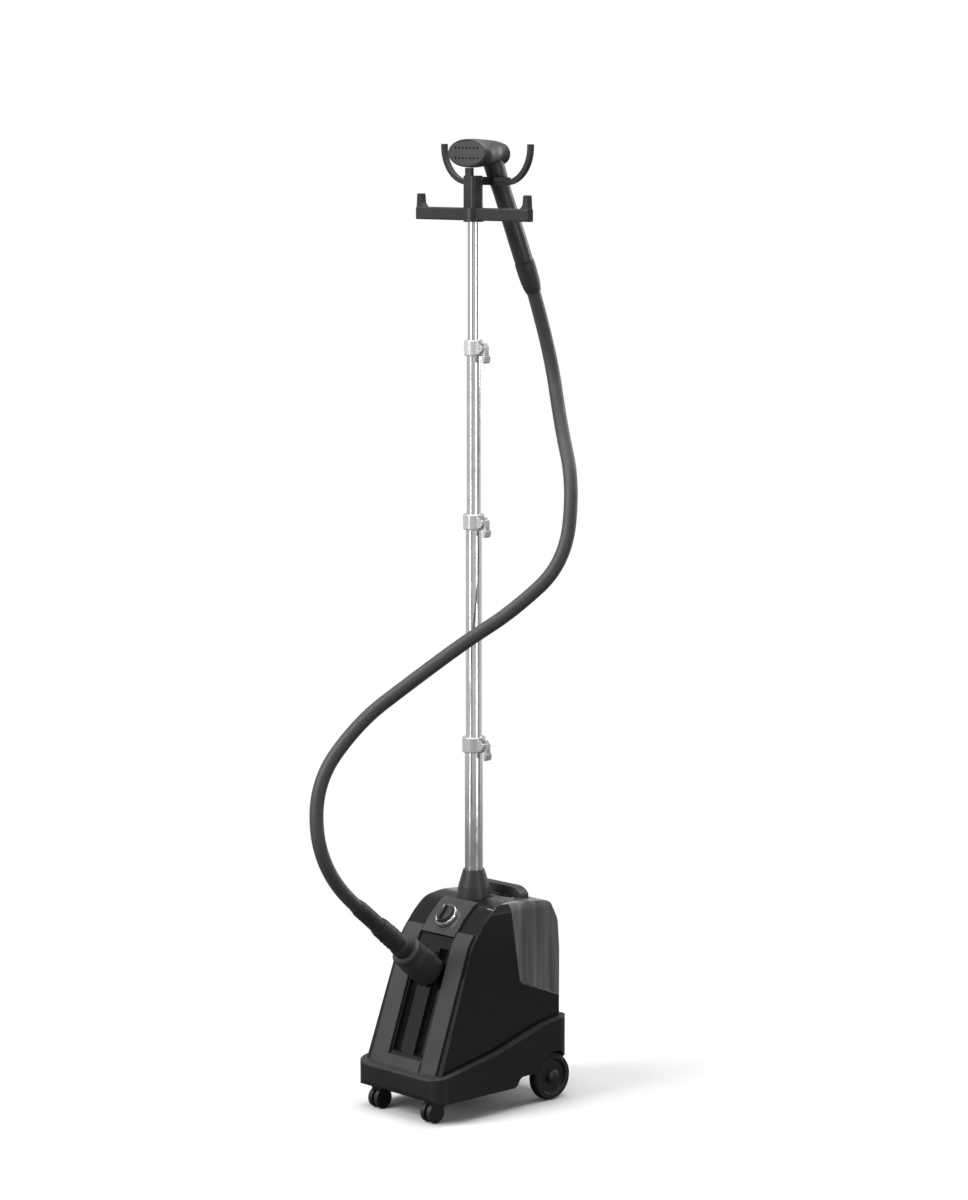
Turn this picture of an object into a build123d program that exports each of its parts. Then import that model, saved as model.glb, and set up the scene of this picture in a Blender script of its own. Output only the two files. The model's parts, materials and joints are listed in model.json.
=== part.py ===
"""Upright garment steamer: a wheeled boiler base, a telescopic pole with a hanger bar, and a steam head on a hose.

Millimetres, +Z up, front towards -Y. Everything is laid out about the pole's axis, X = Y = 0, and save()
moves it by ORIGIN_SHIFT so that the origin is the middle of the footprint.
"""
from build123d import *
from math import cos, radians, sin, tan
import os

# ---------------------------------------------------------------- driving dimensions
ORIGIN_SHIFT = 58.4  # along Y, from the pole's axis to the middle of the footprint

WALL = 3.0  # moulded plastic walls
GAP = 0.4  # between a lift-out or turning piece and its neighbour
RUNNING = 0.05  # radial clearance of a shaft in its bearing

# base
BASE_FRONT, BASE_REAR = -170.0, 122.0
BASE_HALF = 101.0
BASE_CORNER = 27.0
PAN_BOTTOM = 36.0
ARCH_BOTTOM = 52.0
HOUSING_HALF = 89.0  # at its foot; it narrows by HOUSING_TAPER at the top
HOUSING_TAPER = 8.0
HOUSING_FRONT, HOUSING_REAR = -179.0, 119.0  # of the top view
HOUSING_TOP = 334.0
POST_FOOT = 62.0  # where the housing's screw posts stand on the chassis's bosses
SCREW_R = 1.8
GLAND_Z, GLAND_REAR = 152.0, 114.2

# wheels
WHEEL_R, WHEEL_W = 38.0, 18.0
WHEEL_X, WHEEL_Y = 86.0, 86.0
AXLE_R = 4.0
CASTER_X, CASTER_Y, CASTER_TRAIL = 62.0, -139.0, 9.0
CASTER_R = 16.5
STEM_R = 5.0

# water tank bay, as the side view's slanted corner
TANK_FRONT_TOP, TANK_FRONT_LOW = 2.0, 22.0
TANK_LOW_FRONT_Z = 202.0
POLE_COLUMN_R = 32.0
VALVE_Y = 66.0

# telescopic pole: outer radius, bottom and top of each tube, thickest first
TUBE_R = [14.3, 12.7, 11.1, 9.525]
TUBE_WALL = 1.2
TUBE_SPAN = [(160.0, 580.0), (518.0, 937.0), (808.0, 1212.0), (1022.0, 1440.0)]
COLLAR_DOWN, COLLAR_UP = 13.0, 12.0  # of a clamp collar, below and above its tube's end
BUSH_LENGTH = 24.0

# top of the pole
BAR_Z, BAR_TALL, BAR_HALF, BAR_DEEP = 1421.0, 20.0, 128.0, 12.0
PEG_TOP = 1452.0
COLUMN_TOP = 1481.0
YOKE_Y, YOKE_LOW, YOKE_HALF, YOKE_TIP_Z, YOKE_THICK = 28.0, 1466.0, 101.5, 1530.0, 7.5

# steam head and its handle
HEAD_Z = 1516.0
NOZZLE_Y, TAIL_Y = -14.0, 59.0
NOZZLE_HALF, NOZZLE_TALL = 43.0, 22.0
HANDLE_TOP = (0.0, 50.0, 1483.0)
HANDLE_LEAN = 23.4
HANDLE_R = 15.0
NECK_END, HANDLE_END, CUFF_END = 6.0, 152.0, 203.0  # along the handle from HANDLE_TOP

# steam hose
HOSE_D = 22.0
BOSS_CENTRE = (0.0, -143.0, 262.0)
BOSS_RISE = 40.0  # degrees above level
SOCKET_R, STEAM_HOLE_R = 27.0, 7.0
CUFF_STEP, CUFF_TIP = 81.0, 141.0  # along the boss axis from BOSS_CENTRE
HOSE_ROUTE = [
    (0, -251, 352.6), (-4, -318, 409), (-34, -310, 543), (-14, -234, 638), (25, -156, 699), (63, -77, 758),
    (101, -10, 804), (144, 62, 878), (124, 99, 998), (60, 134, 1084), (3, 165, 1202), (0, 130.6, 1296.7),
]

MADE = {}


def save(name, shape):
    """Keeps one sub-part under its node's name."""
    MADE[name] = shape


def write_all():
    os.makedirs("parts", exist_ok=True)
    for name, shape in MADE.items():
        solids = [s for s in shape.solids()]
        moved = Compound(children=[s.moved(Location((0, ORIGIN_SHIFT, 0))) for s in solids])
        export_step(moved if len(solids) > 1 else moved.solids()[0], f"parts/{name}.step")


# ---------------------------------------------------------------- helpers
def across(sketch, x0, x1):
    """Extrudes a side-view outline, drawn as (Y, Z), from x0 to x1."""
    return extrude(Plane.YZ.offset(x0) * sketch, x1 - x0)


def along(sketch, y0, y1):
    """Extrudes a front-view outline, drawn as (X, Z), from y0 to y1."""
    return extrude(Plane.XZ.offset(-y1) * sketch, y1 - y0)


def outline(points, radii):
    """A closed outline with each corner rounded to its own radius."""
    return make_face(FilletPolyline(*points, radius=radii, close=True))


def turned(points):
    """A solid of revolution about Z, from an (r, z) outline."""
    return revolve(Plane.XZ * make_face(Polyline(*points, close=True)), Axis.Z)


def ring(outer, inner, z0, z1):
    """A plain tube about Z."""
    return Pos(0, 0, (z0 + z1) / 2) * (Cylinder(outer, z1 - z0) - Cylinder(inner, z1 - z0))


def rod(radius, z0, z1):
    return Pos(0, 0, (z0 + z1) / 2) * Cylinder(radius, z1 - z0)


def rod_x(radius, x0, x1, y=0.0, z=0.0):
    """A round bar along X."""
    return Pos((x0 + x1) / 2, y, z) * Rot(0, 90, 0) * Cylinder(radius, x1 - x0)


def rod_y(radius, y0, y1, x=0.0, z=0.0):
    """A round bar along Y."""
    return Pos(x, (y0 + y1) / 2, z) * Rot(90, 0, 0) * Cylinder(radius, y1 - y0)


def block(x, y, z):
    """A box from three (low, high) pairs."""
    size = [b - a for a, b in (x, y, z)]
    return Pos(*[(a + b) / 2 for a, b in (x, y, z)]) * Box(*size)


def path_radii(points):
    """The largest arc that each corner of a route allows, with a tenth of each run left straight."""
    radii = []
    for a, b, c in zip(points, points[1:], points[2:]):
        u, v = Vector(b) - Vector(a), Vector(c) - Vector(b)
        radii.append(0.45 * min(u.length, v.length) / tan(radians(u.get_angle(v)) / 2))
    return radii


def bent_tube(points, outer, inner=0.0):
    """A tube of straight runs joined by tangent arcs."""
    path = FilletPolyline(*points, radius=path_radii(points))
    start = Plane(origin=path @ 0, z_dir=path % 0)
    section = Circle(outer) - Circle(inner) if inner else Circle(outer)
    return sweep(start * section, path=path), path


# ---------------------------------------------------------------- base outlines
FRONT_LEAN = [(-158.6, 60), (-81, 275), (-56, 305), (-31, 327)]


def side_face(grow=0.0):
    """The housing's side view: a leaning front, a rounded shoulder and an upright rear."""
    points = FRONT_LEAN + [(0, HOUSING_TOP), (91, 325), (108, 292), (HOUSING_REAR, 60)]
    face = outline(points, [0.5, 60, 60, 40, 60, 16, 40, 0.5])
    return offset(face, amount=grow) if grow else face


def housing_block(grow=0.0):
    """The housing's outer form, grown or shrunk evenly: side, front and top views crossed."""
    narrow = HOUSING_HALF - HOUSING_TAPER
    front_view = outline(
        [(-HOUSING_HALF, 50), (HOUSING_HALF, 50), (narrow, HOUSING_TOP + 3), (-narrow, HOUSING_TOP + 3)],
        [0.5, 0.5, 20, 20],
    )
    top_view = RectangleRounded(2 * HOUSING_HALF, HOUSING_REAR - HOUSING_FRONT, 24)
    front_view = offset(front_view, amount=grow) if grow else front_view
    top_view = offset(top_view, amount=grow) if grow else top_view
    form = across(side_face(grow), -120, 120) & along(front_view, -200, 200)
    return form & (Pos(0, (HOUSING_REAR + HOUSING_FRONT) / 2, 0) * extrude(top_view, 400))


def pan_top(grow=0.0):
    """The chassis side view: it sweeps up towards the rear, and is raised underneath between the wheels."""
    points = [
        (BASE_FRONT, PAN_BOTTOM), (BASE_FRONT, 74), (-130, 82), (-38, 99), (61, 128), (BASE_REAR, 137),
        (BASE_REAR, ARCH_BOTTOM), (8, ARCH_BOTTOM), (0, PAN_BOTTOM),
    ]
    face = outline(points, [10, 4, 90, 160, 90, 4, 8, 14, 12])
    return offset(face, amount=grow) if grow else face


def pan_plan(grow=0.0):
    """The chassis seen from above."""
    sketch = Pos(0, (BASE_FRONT + BASE_REAR) / 2) * RectangleRounded(2 * BASE_HALF, BASE_REAR - BASE_FRONT, BASE_CORNER)
    return offset(sketch, amount=grow) if grow else sketch


def tank_region(grow=0.0):
    """The slanted upper rear corner that the tank fills, kept off the column that holds the pole."""
    points = [
        (TANK_FRONT_TOP - 2, 360), (TANK_FRONT_LOW, TANK_LOW_FRONT_Z), (140, 157), (140, 360),
    ]
    face = outline(points, [0.5, 9, 0.5, 0.5])
    face = offset(face, amount=grow) if grow else face
    return across(face, -130, 130) - rod(POLE_COLUMN_R - grow, 100, 400)


def front_slots(grow=0.0):
    """The two long recesses beside the front's centre rib."""
    strip = side_face(8) - side_face(-9 - grow)
    both = None
    for side in (-1, 1):
        x0, x1 = sorted((side * (13 - grow), side * (36 + grow)))
        slot = across(strip, x0, x1) & block((-60, 60), (-190, -60), (98 - grow, 262 + grow))
        both = slot if both is None else both + slot
    return both


def wheel_arches(radius):
    """The space kept free round both rear wheels."""
    inner = WHEEL_X - WHEEL_W / 2 - 3
    return rod_x(radius, inner, 130, WHEEL_Y, WHEEL_R) + rod_x(radius, -130, -inner, WHEEL_Y, WHEEL_R)


# ---------------------------------------------------------------- base: shells
def base_pan():
    outer = extrude(pan_plan(), 200) & across(pan_top(), -120, 120)
    inner = (extrude(pan_plan(-WALL), 200) & across(pan_top(-WALL), -120, 120)) - wheel_arches(WHEEL_R + 5 + WALL)
    mouth = housing_block(-2 * WALL) & block((-100, 100), (-170, 120), (60, 160))
    pan = outer - inner - (mouth - wheel_arches(WHEEL_R + 5 + WALL)) - wheel_arches(WHEEL_R + 5)
    for x, y in screw_places():
        pan = pan + Pos(x, y, 0) * rod(4.9, PAN_BOTTOM + 1, POST_FOOT) - Pos(x, y, 0) * rod(SCREW_R, 30, 70)
    for side in (-1, 1):
        boss = Pos(side * CASTER_X, CASTER_Y, 0)
        pan = pan + boss * rod(9, PAN_BOTTOM + 1, 66) - boss * rod(STEM_R + RUNNING, 20, 62)
        pan += axle_lug(side * 70)
    return pan


def axle_lug(x):
    """A hanging ear of the chassis that carries the axle beside a wheel."""
    ear = rod_x(9, x - 4, x + 4, WHEEL_Y, WHEEL_R) + block((x - 4, x + 4), (WHEEL_Y - 9, WHEEL_Y + 9), (WHEEL_R, 56))
    return ear - rod_x(AXLE_R, -120, 120, WHEEL_Y, WHEEL_R)


def screw_places():
    """Where the chassis is screwed to the housing, in plan."""
    return [(side * 72.2, y) for side in (-1, 1) for y in (-72, -14)]


def housing_posts():
    """Posts inside the housing, each tied to the side wall by a rib, that the screws bite into."""
    posts = None
    for x, y in screw_places():
        side = 1 if x > 0 else -1
        x0, x1 = sorted((side * 72, side * 85))
        post = Pos(x, y, 0) * rod(4.9, POST_FOOT, 130) + block((x0, x1), (y - 2, y + 2), (112, 130))
        post -= Pos(x, y, 0) * rod(SCREW_R, 50, 80)
        posts = post if posts is None else posts + post
    return posts


def housing():
    """The glossy upper shell with the tank bay sunk in its upper rear."""
    cavity = housing_block(-WALL) - tank_region(WALL + GAP) - front_slots(WALL)
    shell = housing_block() - cavity - tank_region(GAP) - front_slots()
    shell = shell & (across(above_pan(), -120, 120))
    shell -= rod(TUBE_R[0] + RUNNING, 150, 400)
    shell -= Pos(0, VALVE_Y, 0) * rod(20, 140, 230)
    shell -= along_boss(SOCKET_R + 0.2, -60, 30)
    shell -= along_boss(STEAM_HOLE_R, -80, -55)
    shell -= dial_place(Cylinder(6, 40))
    shell -= rod_y(9, 95, 135, 0, GLAND_Z)
    return shell + housing_posts()


def above_pan():
    """Everything above the chassis's top surface, in side view."""
    points = [(-200, 74), (BASE_FRONT, 74), (-130, 82), (-38, 99), (61, 128), (BASE_REAR, 137), (200, 137),
              (200, 400), (-200, 400)]
    return outline(points, [1, 4, 90, 160, 90, 4, 1, 1, 1])


def front_bands():
    """Satin strips that run up both sides of the front."""
    strip = across(side_face(3.2) - side_face(), -76, 76) & across(above_pan(), -120, 120)
    both = None
    for side in (-1, 1):
        x0, x1 = sorted((side * 40, side * 76))
        band = strip & block((x0, x1), (-190, -66), (60, 290))
        both = band if both is None else both + band
    return both


def front_lip():
    """The bright sill at the foot of the front."""
    strip = across(side_face(6) - side_face(), -39.5, 39.5) & across(above_pan(), -120, 120)
    return strip & block((-39.5, 39.5), (-190, -120), (60, 93))


def console():
    """The satin shoulder panel round the dial."""
    strip = across(side_face(4) - side_face(), -38, 38) & block((-38, 38), (-90, -27.5), (283, 345))
    return strip - dial_place(Cylinder(21, 60)) - along_boss(27.3, -60, 20)


# ---------------------------------------------------------------- base: hose outlet
def boss_plane():
    """Z along the hose outlet's axis, which rises forward."""
    rise = radians(BOSS_RISE)
    return Plane(origin=BOSS_CENTRE, x_dir=(1, 0, 0), z_dir=(0, -cos(rise), sin(rise)))


def along_boss(radius, t0, t1):
    return boss_plane() * rod(radius, t0, t1)


def hose_socket():
    """The fixed outlet that the hose's cuff plugs into."""
    profile = [(8, -58), (SOCKET_R, -58), (SOCKET_R, -14), (25.5, -4), (25.5, 6), (23, 9), (16.2, 9), (16.2, -20), (8, -20)]
    return boss_plane() * turned(profile)


def hose_cuff_lower():
    """The stepped rubber cuff at the base end of the hose."""
    profile = [
        (7, -18), (16, -18), (16, 12), (17.5, 14), (17.5, 24), (16, 26), (16, 74), (15, CUFF_STEP),
        (12.6, CUFF_STEP), (12.6, CUFF_TIP - 6), (12.0, CUFF_TIP - 2), (12.0, CUFF_TIP), (7, CUFF_TIP),
    ]
    return boss_plane() * turned(profile)


# ---------------------------------------------------------------- base: pole socket, dial
def pole_socket():
    """The bell-shaped collar that steadies the pole on top of the housing."""
    profile = [
        (TUBE_R[0] + RUNNING, 329.5), (27, 329.5), (26.5, 338), (25, 350), (21, 364), (18, 374), (17, 377),
        (TUBE_R[0] + RUNNING, 377),
    ]
    return turned(profile) - housing_block(0)


def dial_plane():
    """Z out of the shoulder panel at the dial, leaning forward."""
    lean = radians(47)
    return Plane(origin=(0, -57, 307), x_dir=(1, 0, 0), z_dir=(0, -sin(lean), cos(lean)))


def dial_place(shape):
    return dial_plane() * shape


def dial_bezel():
    """The bright ring round the dial."""
    profile = [(15.4, -8), (20.6, -8), (20.6, 6), (19.4, 8), (16.6, 8), (15.4, 6.5)]
    return dial_place(turned(profile)) - housing_block(0)


def dial_knob():
    """The steam control knob, with a raised grip bar across it and a spindle behind."""
    skirt = turned([(0, 4.5), (15, 4.5), (15, 10), (13.5, 12.5), (0, 12.5)])
    grip = fillet(block((-2.6, 2.6), (-12.5, 12.5), (12.5, 19)).edges().filter_by(Axis.X), 2.4)
    return dial_place(skirt + grip + rod(3, -14, 4.5))


def dial_switch():
    """The rotary switch behind the dial."""
    body = block((-14, 14), (-13, 13), (-30, -12)) - rod(3 + RUNNING, -15, -10)
    return dial_place(body)


# ---------------------------------------------------------------- base: works inside
def boiler():
    """The cast heating block, with its element's two stubs."""
    cast = fillet(block((-42, 42), (-92, -16), (58, 108)).edges().filter_by(Axis.Z), 16)
    for x in (-24, 24):
        cast += rod_y(4, -100, -90, x, 72)
    for x in (-30, 30):
        cast += Pos(x, -54, 0) * rod(5, PAN_BOTTOM + WALL, 60)
    return cast


def thermostat():
    return Pos(-22, -54, 0) * (rod(9, 108, 118) + block((-5, 5), (-11, 11), (116, 119)))


def thermal_fuse():
    return rod_y(3, -70, -42, 24, 111)


def pump():
    """The small water pump and its motor."""
    motor = rod_y(13, 10, 46, -48, 82)
    head = block((-64, -32), (46, 64), (66, 98))
    foot = block((-56, -40), (18, 42), (ARCH_BOTTOM + WALL, 72))
    return motor + head + foot + rod_x(3, -32, -26, 55, 88)


def terminal_block():
    body = block((30, 66), (50, 68), (ARCH_BOTTOM + WALL, 71))
    for x in (36, 48, 60):
        body -= Pos(x, 59, 0) * rod(2.2, 63, 90)
    return body


def inlet_tube():
    """Silicone tube from the tank's seat down to the pump."""
    route = [(0, VALVE_Y, 146), (0, VALVE_Y, 118), (-8, 55, 100), (-26, 55, 88.2)]
    return bent_tube(route, 3.5)[0] & block((-25.9, 40), (0, 120), (60, 145.8))


def feed_tube():
    """Silicone tube from the pump to the boiler."""
    route = [(-48, 9.9, 82), (-48, -2, 82), (-42, -8, 84), (-30, -15.8, 86)]
    return bent_tube(route, 3.5)[0] & block((-80, 0), (-15.9, 9.8), (60, 110))


def steam_tube():
    """Silicone tube from the boiler to the hose outlet."""
    route = [(0, -54, 108.2), (0, -54, 150), (0, -66, 197.4), (0, -97.8, 224.1)]
    tube = bent_tube(route, 5.5)[0]
    return tube - along_boss(SOCKET_R, -59, 0)


def valve_seat():
    """The cup under the tank bay that the tank's cap stands in."""
    cup = Pos(0, VALVE_Y, 0) * (rod(23.5, 146, 200) - rod(20.5, 149, 210))
    pin = Pos(0, VALVE_Y, 0) * rod(3, 148, 154.5)
    return (cup + pin) - tank_region(WALL + GAP)


def cord_gland():
    """The rubber gland in the rear wall where a power cord would enter."""
    rear = GLAND_REAR
    flange = rod_y(12, rear, rear + 4, 0, GLAND_Z)
    neck = rod_y(8.9, rear - 9, rear + 0.5, 0, GLAND_Z)
    return (flange - housing_block()) + neck - rod_y(3.6, 90, 135, 0, GLAND_Z)


def housing_screws():
    """Four screws driven up through the chassis."""
    group = None
    for x, y in screw_places():
        screw = Pos(x, y, 0) * (rod(SCREW_R, PAN_BOTTOM, 78) + rod(3.4, PAN_BOTTOM - 2, PAN_BOTTOM))
        group = screw if group is None else group + screw
    return group


def rear_axle():
    return rod_x(AXLE_R, -(WHEEL_X + WHEEL_W / 2 + 2), WHEEL_X + WHEEL_W / 2 + 2, WHEEL_Y, WHEEL_R)


# ---------------------------------------------------------------- wheels
def wheel_profile():
    """A rear wheel's plastic body: hub, web and rim, as (r, z) with z along the axle."""
    half = WHEEL_W / 2
    bore = AXLE_R + RUNNING
    return [
        (bore, -half), (11, -half), (12, -3), (27, -3), (29, -half), (33, -half), (33, half), (29, half),
        (27, 3), (12, 3), (11, half), (bore, half),
    ]


def on_axle(shape, side):
    return Pos(side * WHEEL_X, WHEEL_Y, WHEEL_R) * Rot(0, 90, 0) * shape


def rear_wheel(side):
    return on_axle(turned(wheel_profile()), side)


def rear_tyre(side):
    half = WHEEL_W / 2
    tread = [(33, -half + 0.5), (36, -half), (WHEEL_R, -half + 3.5), (WHEEL_R, half - 3.5), (36, half), (33, half - 0.5)]
    return on_axle(turned(tread), side)


def caster_fork(side):
    """Stem, domed top and the web between a caster's twin wheels."""
    x, y = side * CASTER_X, CASTER_Y
    wheel_y = y - CASTER_TRAIL
    stem = Pos(x, y, 0) * rod(STEM_R, 33.8, 60)
    cap = Pos(x, y, 0) * rod(10, 33.8, PAN_BOTTOM - 0.4)
    web = block((x - 2, x + 2), (wheel_y - 7, y + 9), (10, 34.5))
    hood = rod_x(19.5, x - 11, x + 11, wheel_y, CASTER_R) - rod_x(17.3, x - 20, x + 20, wheel_y, CASTER_R)
    hood = hood & block((x - 20, x + 20), (wheel_y - 8, y + 14), (24, PAN_BOTTOM - 0.5))
    return stem + cap + web + hood - rod_x(2.5 + RUNNING, x - 20, x + 20, wheel_y, CASTER_R)


def caster_wheels(side):
    """Twin wheels pressed on one short axle."""
    x, y = side * CASTER_X, CASTER_Y - CASTER_TRAIL
    pair = rod_x(2.5, x - 10, x + 10, y, CASTER_R)
    for low, high in ((x + 2.5, x + 11), (x - 11, x - 2.5)):
        disc = rod_x(CASTER_R, low, high, y, CASTER_R)
        pair += fillet(disc.edges(), 1.6)
    return pair


# ---------------------------------------------------------------- pole
def pole_tube(i):
    z0, z1 = TUBE_SPAN[i]
    return ring(TUBE_R[i], TUBE_R[i] - TUBE_WALL, z0, z1)


def guide_bush(i):
    """A plastic bush on the foot of tube i that runs in the tube outside it."""
    z0 = TUBE_SPAN[i][0]
    outside = TUBE_R[i - 1] - TUBE_WALL - RUNNING
    plug = rod(TUBE_R[i] - TUBE_WALL, z0, z0 + 10)
    return plug + rod(outside, z0 - BUSH_LENGTH / 2, z0)


def lever_place(i):
    """Where clamp lever i pivots: X and Z of its pin."""
    return TUBE_R[i] + 11.0, TUBE_SPAN[i][1] - 1


def clamp_collar(i):
    """The clamp on top of tube i, with two ears for its lever."""
    top = TUBE_SPAN[i][1]
    radius = TUBE_R[i] + 4.2
    pin_x, pin_z = lever_place(i)
    body = ring(radius, TUBE_R[i] + 0.02, top - COLLAR_DOWN, top)
    body += ring(radius, TUBE_R[i + 1] + RUNNING, top, top + COLLAR_UP)
    body = chamfer(body.edges().filter_by(GeomType.CIRCLE).filter_by(lambda e: e.radius > radius - 0.1), 1.5)
    ears = None
    for side in (-1, 1):
        y0, y1 = sorted((side * 4.6, side * 8.2))
        ear = block((TUBE_R[i] + 1.5, pin_x), (y0, y1), (pin_z - 8, pin_z + 8))
        ear += rod_y(5.2, y0, y1, pin_x, pin_z)
        ears = ear if ears is None else ears + ear
    ears -= rod(TUBE_R[i] + 2, top - 40, top + 40)
    return body + ears - rod_y(1.5, -20, 20, pin_x, pin_z)


def clamp_pin(i):
    x, z = lever_place(i)
    return rod_y(1.5, -8.2, 8.2, x, z)


def clamp_lever(i):
    """The over-centre lever that squeezes clamp i."""
    x, z = lever_place(i)
    barrel = rod_y(4.4, -4.3, 4.3, x, z)
    arm = Polyline((-1, 3.8), (6, 3), (8.5, -4), (8, -19), (5, -22), (3.4, -18), (3.2, -6), (-1, -3.8), close=True)
    plate = extrude(Plane.XZ.offset(4.3) * make_face(arm), -8.6)
    grip = extrude(Plane.XZ.offset(6.5) * make_face(Polyline(
        (7.4, -10), (9.6, -13), (8.6, -21), (5, -23), (3.5, -19), (4, -10.5), close=True)), -13)
    lever = Pos(x, 0, z) * (plate + grip) + barrel
    return lever - rod_y(1.5 + RUNNING, -20, 20, x, z)


# ---------------------------------------------------------------- hanger bar and cradle
def hanger_bar():
    """The cross bar with an upturned peg at each end."""
    low, high = BAR_Z - BAR_TALL / 2, BAR_Z + BAR_TALL / 2
    bar = block((-BAR_HALF, BAR_HALF), (-BAR_DEEP / 2, BAR_DEEP / 2), (low, high))
    bar = fillet(bar.edges().filter_by(Axis.X), 2.5)
    for side in (-1, 1):
        peg = outline(
            [(side * BAR_HALF, low + 4), (side * (BAR_HALF - 2), PEG_TOP), (side * (BAR_HALF - 11), PEG_TOP),
             (side * (BAR_HALF - 12.5), high + 6), (side * (BAR_HALF - 19), high - 1), (side * (BAR_HALF - 19), low + 4)],
            [0.5, 2.5, 2.5, 4, 4, 0.5],
        )
        bar += along(peg, -BAR_DEEP / 2 + 1, BAR_DEEP / 2 - 1)
    hub = rod(16, low - 2, high)
    return bar + hub - rod(TUBE_R[3] + 0.02, low - 5, high + 5)


def head_cradle():
    """The column on the bar, the stub and cheeks that hold the head, and the thin upturned crescent."""
    low = BAR_Z + BAR_TALL / 2
    column = extrude(Pos(0, -1) * RectangleRounded(26, 24, 6), COLUMN_TOP - low)
    column = Pos(0, 0, low) * column - rod(TUBE_R[3] + 0.02, low - 5, TUBE_SPAN[3][1])
    stub = Pos(0, -9, 0) * extrude(RectangleRounded(14, 8, 2), HEAD_Z - NOZZLE_TALL - 0.8)
    stub = stub & block((-20, 20), (-20, 20), (COLUMN_TOP - 6, 1600))
    arm = block((-8, 8), (6, YOKE_Y + 3), (YOKE_LOW + 0.5, COLUMN_TOP - 2))
    cradle = column + stub + arm + crescent()
    for side in (-1, 1):
        x0, x1 = sorted((side * 17.3, side * 21.5))
        cradle += block((x0, x1), (YOKE_Y - 3, 60), (YOKE_LOW + 2, YOKE_LOW + 12))
    return cradle


def crescent():
    """A thin upturned bow in the X-Z plane, whose horns rise either side of the head."""
    outer = outline(
        [(-YOKE_HALF - 1.5, 1600), (-YOKE_HALF, YOKE_LOW), (YOKE_HALF, YOKE_LOW), (YOKE_HALF + 1.5, 1600)],
        [1, 60, 60, 1],
    )
    bow = outer - offset(outer, amount=-YOKE_THICK)
    bow = bow & (Pos(0, YOKE_TIP_Z - 100) * Rectangle(3 * YOKE_HALF, 200))
    return along(bow, YOKE_Y - 3, YOKE_Y + 5)


# ---------------------------------------------------------------- steam head
def head_form(grow=0.0, front=NOZZLE_Y, rear=TAIL_Y):
    """The head's T-shaped body: a wide oval mouth narrowing to a round tail."""
    stations = [
        (front, NOZZLE_HALF, NOZZLE_TALL, 0), (8, NOZZLE_HALF - 3, NOZZLE_TALL, 0), (24, 29, 20.5, 0.5),
        (42, 21, 19, 0.5), (rear, 21.5, 17, -1.5),
    ]
    faces = [
        Plane.XZ.offset(-y) * (Pos(0, HEAD_Z + dz) * Ellipse(half + grow, tall + grow))
        for y, half, tall, dz in stations
    ]
    return loft(faces)


def handle_plane():
    """Z down the handle from the head, leaning back."""
    lean = radians(HANDLE_LEAN)
    return Plane(origin=HANDLE_TOP, x_dir=(1, 0, 0), z_dir=(0, sin(lean), -cos(lean)))


def along_handle(profile):
    return handle_plane() * turned(profile)


def head_shell():
    neck = along_handle([(0, -26), (16.2, -26), (16.2, -4), (15.4, NECK_END), (0, NECK_END)])
    duct = along_handle([(0, -24), (7, -24), (7, NECK_END + 1), (0, NECK_END + 1)])
    inside = head_form(-2.6, NOZZLE_Y - 1, TAIL_Y - 3)
    mouth = along(Pos(0, HEAD_Z) * Ellipse(NOZZLE_HALF - 2.6, NOZZLE_TALL - 2.6), NOZZLE_Y - 2, NOZZLE_Y + 3)
    return head_form() + neck - inside - duct - mouth


def head_plate():
    """The steam plate in the head's mouth, with two rows of vents."""
    plate = along(Pos(0, HEAD_Z) * Ellipse(NOZZLE_HALF - 2.7, NOZZLE_TALL - 2.7), NOZZLE_Y - 1.5, NOZZLE_Y + 2.8)
    for row in (-1, 1):
        for i in range(-3, 4):
            plate -= rod_y(1.8, NOZZLE_Y - 5, NOZZLE_Y + 5, 8.4 * i, HEAD_Z + row * 8)
    return plate


def head_handle():
    """The grip, slightly waisted, hollow for the steam pipe."""
    n, e = NECK_END, HANDLE_END
    return along_handle([
        (7, n), (15.4, n), (14.6, n + 25), (14.6, n + 60), (HANDLE_R, n + 100), (HANDLE_R, e - 4), (14.2, e), (7, e),
    ])


def hose_cuff_upper():
    e, c = HANDLE_END, CUFF_END
    return along_handle([(7, e), (15.6, e), (15.8, e + 20), (14.5, c - 10), (12.4, c), (7, c)])


def steam_hose():
    """The free hose, from the lower cuff's end to the upper cuff's end."""
    tube, path = bent_tube(HOSE_ROUTE, HOSE_D / 2)
    print("hose radii", [round(r) for r in path_radii(HOSE_ROUTE)])
    area = 3.14159 * (HOSE_D / 2) ** 2
    print("hose length", round(path.length), "volume ratio", round(tube.volume / (area * path.length), 4))
    lower = along_boss(14, 0, CUFF_TIP)
    upper = along_handle([(0, 0), (14, 0), (14, CUFF_END), (0, CUFF_END)])
    return tube - lower - upper


# ---------------------------------------------------------------- water tank
def finger_trough(grow=0.0):
    """The hollow in the tank's top that leaves room for fingers under its handle."""
    trough = block((-40 - grow, 40 + grow), (37 - grow, 81 + grow), (302 - grow, 360))
    return fillet(trough.edges().filter_by(Axis.Z), 10 + grow)


def tank_shell():
    outer = (housing_block() & tank_region()) - finger_trough()
    inner = (housing_block(-2.4) & tank_region(-2.4)) - finger_trough(2.4)
    neck = Pos(0, VALVE_Y, 0) * rod(14, 167, 205) & block((-30, 30), (0, 120), (160, 200))
    bore = Pos(0, VALVE_Y, 0) * rod(12, 160, 215)
    return outer - inner + (neck - inner) - bore


def tank_handle():
    """The carrying arch across the tank's top."""
    arch = outline([(-56, 312), (-56, 338), (-40, 346), (40, 346), (56, 338), (56, 312), (44, 312), (44, 328),
                    (36, 333), (-36, 333), (-44, 328), (-44, 312)],
                   [0.5, 12, 20, 20, 12, 0.5, 0.5, 6, 8, 8, 6, 0.5])
    return along(arch, 50, 68) - housing_block(0)


def at_valve(shape):
    return Pos(0, VALVE_Y, 0) * shape


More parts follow.
